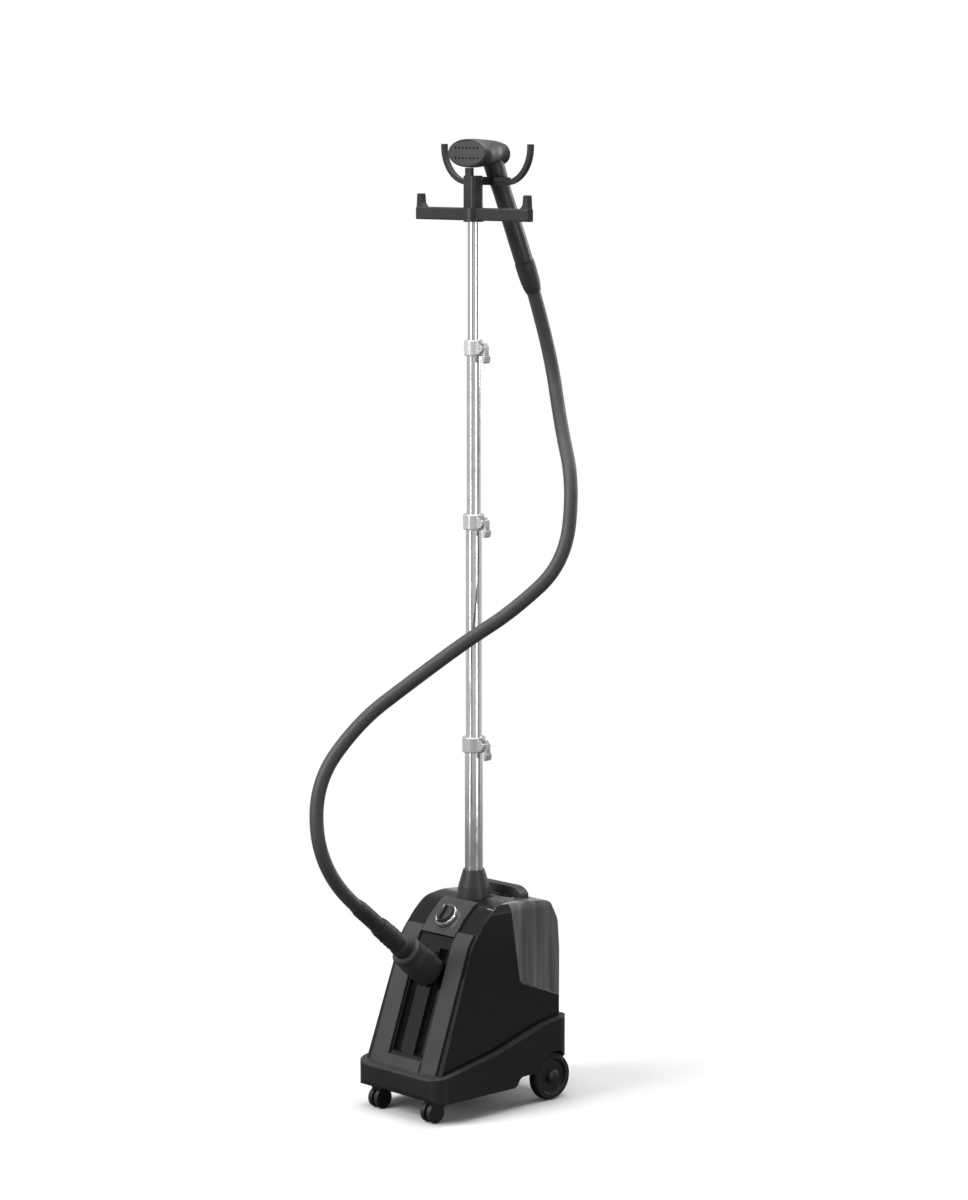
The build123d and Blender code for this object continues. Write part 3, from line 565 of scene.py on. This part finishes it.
def ring_row_tree():
    """Rounded rings in a row along Z, each a little smaller or larger than the last."""
    tree, ins, outs = geometry_tree("ring_row", [
        ("Count", "NodeSocketInt", 8), ("Spacing", "NodeSocketFloat", 0.006), ("Radius", "NodeSocketFloat", 0.012),
        ("Bead", "NodeSocketFloat", 0.001), ("Taper", "NodeSocketFloat", 0.0),
        ("Material", "NodeSocketMaterial", None),
    ])
    step = add(tree, "ShaderNodeCombineXYZ", [("Z", ins.outputs["Spacing"])])
    row = add(tree, "GeometryNodeMeshLine", [("Count", ins.outputs["Count"]), ("Offset", step.outputs[0])])
    loop = add(tree, "GeometryNodeCurvePrimitiveCircle", [("Radius", ins.outputs["Radius"])], Resolution=48)
    bead = add(tree, "GeometryNodeCurvePrimitiveCircle", [("Radius", ins.outputs["Bead"])], Resolution=8)
    ring = add(tree, "GeometryNodeCurveToMesh", [("Curve", loop.outputs[0]), ("Profile Curve", bead.outputs[0])])
    index = tree.nodes.new("GeometryNodeInputIndex").outputs[0]
    change = math_node(tree, "ADD", math_node(tree, "MULTIPLY", index, ins.outputs["Taper"]), 1.0)
    size = add(tree, "ShaderNodeCombineXYZ", [("X", change), ("Y", change)], Z=1.0)
    placed = add(tree, "GeometryNodeInstanceOnPoints",
                 [("Points", row.outputs[0]), ("Instance", ring.outputs[0]), ("Scale", size.outputs[0])])
    return close_tree(tree, ins, outs, placed.outputs[0])


def spoke_tree():
    """Small blocks set round an arc about Z, each turned to face out."""
    tree, ins, outs = geometry_tree("spoke_ring", [
        ("Count", "NodeSocketInt", 12), ("Radius", "NodeSocketFloat", 0.02), ("From", "NodeSocketFloat", 0.0),
        ("Sweep", "NodeSocketFloat", math.tau), ("Size", "NodeSocketVector", (0.002, 0.001, 0.001)),
        ("Slant", "NodeSocketFloat", 0.0), ("Material", "NodeSocketMaterial", None),
    ])
    row = add(tree, "GeometryNodeMeshLine", [("Count", ins.outputs["Count"])], Offset=(0.0, 0.0, 0.0))
    index = tree.nodes.new("GeometryNodeInputIndex").outputs[0]
    share = math_node(tree, "DIVIDE", index, ins.outputs["Count"])
    turn = math_node(tree, "ADD", math_node(tree, "MULTIPLY", share, ins.outputs["Sweep"]), ins.outputs["From"])
    x = math_node(tree, "MULTIPLY", math_node(tree, "COSINE", turn), ins.outputs["Radius"])
    y = math_node(tree, "MULTIPLY", math_node(tree, "SINE", turn), ins.outputs["Radius"])
    place = add(tree, "ShaderNodeCombineXYZ", [("X", x), ("Y", y)])
    moved = add(tree, "GeometryNodeSetPosition", [("Geometry", row.outputs[0]), ("Position", place.outputs[0])])
    rotation = add(tree, "ShaderNodeCombineXYZ", [("X", ins.outputs["Slant"]), ("Z", turn)])
    cube = add(tree, "GeometryNodeMeshCube", [("Size", ins.outputs["Size"])])
    placed = add(tree, "GeometryNodeInstanceOnPoints",
                 [("Points", moved.outputs[0]), ("Instance", cube.outputs[0]), ("Rotation", rotation.outputs[0])])
    return close_tree(tree, ins, outs, placed.outputs[0])


TREES = {}


def grown(name, tree, values, place, body, material):
    """Runs a tree with its inputs set, and keeps the result as a plain piece in its place on a body."""
    holder = bpy.data.objects.new("holder", bpy.data.meshes.new("holder"))
    bpy.context.scene.collection.objects.link(holder)
    modifier = holder.modifiers.new("grow", "NODES")
    modifier.node_group = TREES[tree]
    for item in TREES[tree].interface.items_tree:
        if item.in_out == "INPUT":
            value = FINISHES[material] if item.name == "Material" else values.get(item.name, item.default_value)
            modifier[item.identifier] = value
    bpy.context.view_layer.update()
    shown = holder.evaluated_get(bpy.context.evaluated_depsgraph_get())
    data = bpy.data.meshes.new_from_object(shown)
    bpy.data.objects.remove(holder)
    data.transform(place)
    data.name = name
    smooth(data, 40)
    return new_piece(name, data, body, material)


# ---------------------------------------------------------------- hose ends and handle
HANDLE_TOP = (0, 50, 1483)
HANDLE_LEAN = math.radians(23.4)
HANDLE_WAY = Vector((0, math.sin(HANDLE_LEAN), -math.cos(HANDLE_LEAN)))
BOSS = (0, -143, 262)
BOSS_RISE = math.radians(40)
BOSS_WAY = Vector((0, -math.cos(BOSS_RISE), math.sin(BOSS_RISE)))


def down_handle(t):
    """A frame on the handle's axis, t millimetres below its top, with local Z down the handle."""
    return axis_frame(at_pole(*HANDLE_TOP) + HANDLE_WAY * t * MM, HANDLE_WAY)


def along_boss(t):
    """A frame on the hose outlet's axis, t millimetres out from its middle."""
    return axis_frame(at_pole(*BOSS) + BOSS_WAY * t * MM, BOSS_WAY)


class STEAMER_OT_cuffs(bpy.types.Operator):
    """Ribs on both hose cuffs"""
    bl_idname = "steamer.cuffs"
    bl_label = "Cuff ribs"

    def execute(self, context):
        count = context.scene.steamer.trims.cuff_ribs
        grown("cuff_ribs_lower", "ring_row", {"Count": count, "Spacing": 0.0056, "Radius": 0.0126, "Bead": 0.0009},
              along_boss(86), "base", "rubber_black")
        grown("cuff_beads_lower", "ring_row", {"Count": 3, "Spacing": 0.009, "Radius": 0.0160, "Bead": 0.0008},
              along_boss(38), "base", "rubber_black")
        grown("cuff_ribs_upper", "ring_row",
              {"Count": 6, "Spacing": 0.0056, "Radius": 0.0156, "Bead": 0.0008, "Taper": -0.01},
              down_handle(158), "steam_head", "rubber_black")
        return {"FINISHED"}


class STEAMER_OT_handle_grip(bpy.types.Operator):
    """Fine rings round the handle, its seams, and the lip of the steam mouth"""
    bl_idname = "steamer.handle_grip"
    bl_label = "Handle grip"

    def execute(self, context):
        rows = context.scene.steamer.trims.grip_rows
        grown("grip_rings", "ring_row", {"Count": rows, "Spacing": 0.006, "Radius": 0.01435, "Bead": 0.0006},
              down_handle(44), "steam_head", "handle_grey")
        mouth = axis_frame(at_pole(0, -14.3, 1516), (0, -1, 0)) @ Matrix.Diagonal((1, 20.7 / 41.7, 1, 1))
        grown("nozzle_lip", "ring_row", {"Count": 1, "Radius": 0.0417, "Bead": 0.0011}, mouth, "steam_head",
              "rubber_black")
        for index, (t, radius) in enumerate(((6, 15.5), (152, 15.1))):
            grown(f"handle_seam_{index + 1}", "ring_row", {"Count": 1, "Radius": radius * MM, "Bead": 0.0005},
                  down_handle(t), "steam_head", "dark_seam")
        return {"FINISHED"}


# ---------------------------------------------------------------- wheels
class STEAMER_OT_wheels(bpy.types.Operator):
    """Tread on the rear tyres and domed caps on their hubs"""
    bl_idname = "steamer.wheels"
    bl_label = "Wheels"

    def execute(self, context):
        blocks = context.scene.steamer.trims.tread_blocks
        for side, name in ((-1, "left"), (1, "right")):
            low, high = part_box(f"rear_tyre_{name}")
            middle, radius = (low + high) / 2, (high.z - low.z) / 2
            width = high.x - low.x
            frame_out = axis_frame(middle, (side, 0, 0), (0, 1, 0))
            grown(f"tread_{name}", "spoke_ring",
                  {"Count": blocks, "Radius": radius - 0.0007, "Size": (0.0012, 0.0022, width * 0.62), "Slant": 0.35},
                  frame_out, f"wheel_{name}", "tyre")
            cap = [
                (0.0, 0.0118), (0.006, 0.0114), (0.0095, 0.0100), (0.0108, 0.0088), (0.0108, 0.0070), (0.0, 0.0070),
            ]
            data = lathe(cap, 48)
            data.transform(frame_out @ Matrix.Translation((0, 0, 0.0022)))
            new_piece(f"hub_cap_{name}", data, f"wheel_{name}", "wheel_plastic")
        return {"FINISHED"}


# ---------------------------------------------------------------- dial
class STEAMER_OT_dial(bpy.types.Operator):
    """Ticks round the dial and a pointer on its knob"""
    bl_idname = "steamer.dial"
    bl_label = "Dial"

    def execute(self, context):
        joint = JOINTS["dial_turn"]
        place = axis_frame(Vector(joint["pos_m"]), joint["axis"])
        marks = context.scene.steamer.trims.dial_marks
        grown("dial_marks", "spoke_ring",
              {"Count": marks, "Radius": 0.0181, "From": math.radians(-45), "Sweep": math.radians(297),
               "Size": (0.0016, 0.0006, 0.0003)},
              place @ Matrix.Translation((0, 0, 0.0081)), "base", "dark_seam")
        grown("dial_pointer", "spoke_ring",
              {"Count": 1, "Radius": 0.0085, "From": math.radians(90), "Size": (0.0065, 0.0012, 0.0004)},
              place @ Matrix.Translation((0, 0, 0.0191)), "dial", "pale_mark")
        grown("dial_knurls", "spoke_ring",
              {"Count": 36, "Radius": 0.01495, "Size": (0.0008, 0.0012, 0.0045)},
              place @ Matrix.Translation((0, 0, 0.0076)), "dial", "handle_grey")
        return {"FINISHED"}


# ---------------------------------------------------------------- finishes on the frame
class STEAMER_OT_finishes(bpy.types.Operator):
    """Every CAD node's finish, from its slot in the record"""
    bl_idname = "steamer.finishes"
    bl_label = "Finishes"

    def execute(self, context):
        FINISHES.update(make_finishes(context.scene.steamer))
        for row in frame["record"]["subparts"]:
            data = NODES[row["node"]].data
            data.materials.clear()
            data.materials.append(FINISHES[row["material_slot"]])
        return {"FINISHED"}


# ---------------------------------------------------------------- floor, light and camera
def area_light(name, place, target, size, power, color=(1, 1, 1)):
    light = bpy.data.lights.new(name, "AREA")
    light.shape = "RECTANGLE"
    light.size, light.size_y = size
    light.energy = power
    light.color = color
    lamp = bpy.data.objects.new(name, light)
    lamp.location = place
    lamp.rotation_euler = (target - place).to_track_quat("-Z", "Y").to_euler()
    bpy.context.scene.collection.objects.link(lamp)
    return lamp


def floor_finish(color):
    """A pale matte floor, bright to the camera and far off, and dimmer where glossy parts mirror it close by."""
    material = bpy.data.materials.new("studio_floor")
    material.use_nodes = True
    tree = material.node_tree
    skin = tree.nodes["Principled BSDF"]
    where = tree.nodes.new("ShaderNodeTexCoord").outputs["Object"]
    seen = tree.nodes.new("ShaderNodeLightPath").outputs["Is Camera Ray"]
    noise = add(tree, "ShaderNodeTexNoise", [("Vector", where)], Scale=3.0, Detail=4.0)
    pale = add(tree, "ShaderNodeMix", [("Factor", noise.outputs[0])], data_type="RGBA")
    pale.inputs[6].default_value = (*[c * 0.985 for c in color], 1)
    pale.inputs[7].default_value = (*color, 1)
    shade = add(tree, "ShaderNodeMix", [("Factor", seen), (7, pale.outputs[2])], data_type="RGBA")
    shade.inputs[6].default_value = (*[c * 0.12 for c in color], 1)
    tree.links.new(shade.outputs[2], skin.inputs["Base Color"])
    skin.inputs["Roughness"].default_value = 0.7
    skin.inputs["Specular IOR Level"].default_value = 0.1
    far = add(tree, "ShaderNodeVectorMath", [(0, where)], operation="LENGTH")
    glow = add(tree, "ShaderNodeEmission", [("Strength", math_node(tree, "ADD", math_node(
        tree, "MULTIPLY", seen, 0.45), 0.55))], Color=(1, 1, 1, 1))
    near = math_node(tree, "SUBTRACT", 1.3, math_node(tree, "MULTIPLY", seen, 0.7))
    away = math_node(tree, "SUBTRACT", 3.6, math_node(tree, "MULTIPLY", seen, 1.6))
    span = add(tree, "ShaderNodeMapRange", [("Value", far.outputs["Value"]), ("From Min", near), ("From Max", away)],
               interpolation_type="SMOOTHSTEP")
    both = add(tree, "ShaderNodeMixShader", [(0, span.outputs[0]), (1, skin.outputs[0]), (2, glow.outputs[0])])
    tree.links.new(both.outputs[0], tree.nodes["Material Output"].inputs["Surface"])
    return material


def black_flag(name, place, target, size):
    """A dark upright panel that only shows as a dark line in the plated tube."""
    mesh = bmesh.new()
    bmesh.ops.create_grid(mesh, x_segments=1, y_segments=1, size=0.5)
    bmesh.ops.scale(mesh, vec=(size[0], size[1], 1), verts=mesh.verts)
    data = bpy.data.meshes.new(name)
    mesh.to_mesh(data)
    mesh.free()
    material = bpy.data.materials.new(name)
    material.use_nodes = True
    material.node_tree.nodes["Principled BSDF"].inputs["Base Color"].default_value = (0.01, 0.01, 0.01, 1)
    data.materials.append(material)
    flag = bpy.data.objects.new(name, data)
    flag.location = place
    flag.rotation_euler = (target - place).to_track_quat("-Z", "Y").to_euler()
    flag.visible_camera = False
    flag.visible_shadow = False
    flag.visible_diffuse = False
    bpy.context.scene.collection.objects.link(flag)
    return flag


def bright_world():
    """A white background, with dimmer soft light from the sky on the object itself."""
    world = bpy.data.worlds.new("studio")
    bpy.context.scene.world = world
    world.use_nodes = True
    tree = world.node_tree
    tree.nodes.clear()
    seen = add(tree, "ShaderNodeBackground", Color=(1, 1, 1, 1), Strength=1.0)
    up = add(tree, "ShaderNodeSeparateXYZ", [(0, tree.nodes.new("ShaderNodeTexCoord").outputs["Generated"])])
    sky = add(tree, "ShaderNodeMapRange", [("Value", up.outputs["Z"])])
    sky.inputs["From Min"].default_value = 0.0
    sky.inputs["From Max"].default_value = 1.0
    sky.inputs["To Min"].default_value = 0.42
    sky.inputs["To Max"].default_value = 0.12
    lit = add(tree, "ShaderNodeBackground", [("Strength", sky.outputs[0])], Color=(1, 1, 1, 1))
    path = tree.nodes.new("ShaderNodeLightPath")
    both = add(tree, "ShaderNodeMixShader",
               [(0, path.outputs["Is Camera Ray"]), (1, lit.outputs[0]), (2, seen.outputs[0])])
    out = tree.nodes.new("ShaderNodeOutputWorld")
    tree.links.new(both.outputs[0], out.inputs["Surface"])


class STEAMER_OT_stage(bpy.types.Operator):
    """Floor, soft lights and the camera"""
    bl_idname = "steamer.stage"
    bl_label = "Stage"

    def execute(self, context):
        studio = context.scene.steamer.studio
        mesh = bmesh.new()
        bmesh.ops.create_circle(mesh, cap_ends=True, segments=96, radius=60)
        data = bpy.data.meshes.new("floor")
        mesh.to_mesh(data)
        mesh.free()
        floor = bpy.data.objects.new("floor", data)
        data.materials.append(floor_finish(studio.floor))
        context.scene.collection.objects.link(floor)
        bright_world()
        toward = Vector((math.sin(studio.azimuth), -math.cos(studio.azimuth), 0))
        right = Vector((math.cos(studio.azimuth), math.sin(studio.azimuth), 0))
        heart = POLE + Vector((0, 0, 0.6))
        area_light("key", heart + toward * 1.2 - right * 2.4 + Vector((0, 0, 2.1)), heart, (1.4, 2.0), studio.key)
        area_light("top", heart + Vector((0, 0, 2.9)), heart, (2.6, 2.6), studio.key * 0.9)
        area_light("rim", heart - toward * 1.6 + right * 2.4 + Vector((0, 0, 1.3)), heart, (0.8, 2.2),
                   studio.key * 0.35)
        for name, ahead, aside in (("strip_left", 1.5, -1.9), ("strip_right", 1.9, 1.7)):
            area_light(name, heart + toward * ahead + right * aside + Vector((0, 0, 0.1)), heart, (0.3, 2.2),
                       studio.key * 0.12)
        for name, ahead, aside, width in (("flag_left", 2.2, -1.2, 0.35), ("flag_right", 0.6, 2.4, 0.5)):
            black_flag(name, heart + toward * ahead + right * aside, heart, (width, 2.6))
        camera = bpy.data.cameras.new("camera")
        camera.lens = studio.lens
        camera.sensor_width = 36.0
        camera.clip_end = 200.0
        stand = bpy.data.objects.new("camera", camera)
        stand.location = POLE + toward * studio.distance + Vector((0, 0, studio.height))
        aim = math.radians(0.16)
        stand.rotation_euler = (math.pi / 2 - studio.pitch, 0, studio.azimuth - aim)
        context.scene.collection.objects.link(stand)
        context.scene.camera = stand
        context.scene.view_settings.view_transform = "Standard"
        return {"FINISHED"}


class SteamerSettings(bpy.types.PropertyGroup):
    """All of the steamer's settings"""
    hose: bpy.props.PointerProperty(type=HoseSettings)
    trims: bpy.props.PointerProperty(type=TrimSettings)
    studio: bpy.props.PointerProperty(type=StudioSettings)
    finishes: bpy.props.PointerProperty(type=FinishSettings)


class STEAMER_PT_panel(bpy.types.Panel):
    """Lists the steamer's steps"""
    bl_label = "Garment steamer"
    bl_idname = "STEAMER_PT_panel"
    bl_space_type = "VIEW_3D"
    bl_region_type = "UI"
    bl_category = "Steamer"

    def draw(self, context):
        for operator in OPERATORS:
            self.layout.operator(operator.bl_idname)
        for group in ("hose", "trims", "studio", "finishes"):
            box = self.layout.box()
            settings = getattr(context.scene.steamer, group)
            for key in settings.__annotations__:
                box.prop(settings, key)


OPERATORS = [
    STEAMER_OT_finishes, STEAMER_OT_hose, STEAMER_OT_cuffs, STEAMER_OT_handle_grip, STEAMER_OT_wheels,
    STEAMER_OT_dial, STEAMER_OT_stage,
]
CLASSES = [
    HoseSettings, TrimSettings, StudioSettings, FinishSettings, SteamerSettings, *OPERATORS, STEAMER_PT_panel,
]


def register():
    for cls in CLASSES:
        bpy.utils.register_class(cls)
    bpy.types.Scene.steamer = bpy.props.PointerProperty(type=SteamerSettings)


def unregister():
    del bpy.types.Scene.steamer
    for cls in reversed(CLASSES):
        bpy.utils.unregister_class(cls)


def main():
    register()
    TREES.update(ring_row=ring_row_tree(), spoke_ring=spoke_tree())
    for operator in OPERATORS:
        group, name = operator.bl_idname.split(".")
        getattr(getattr(bpy.ops, group), name)()


if __name__ == "__main__":
    main()
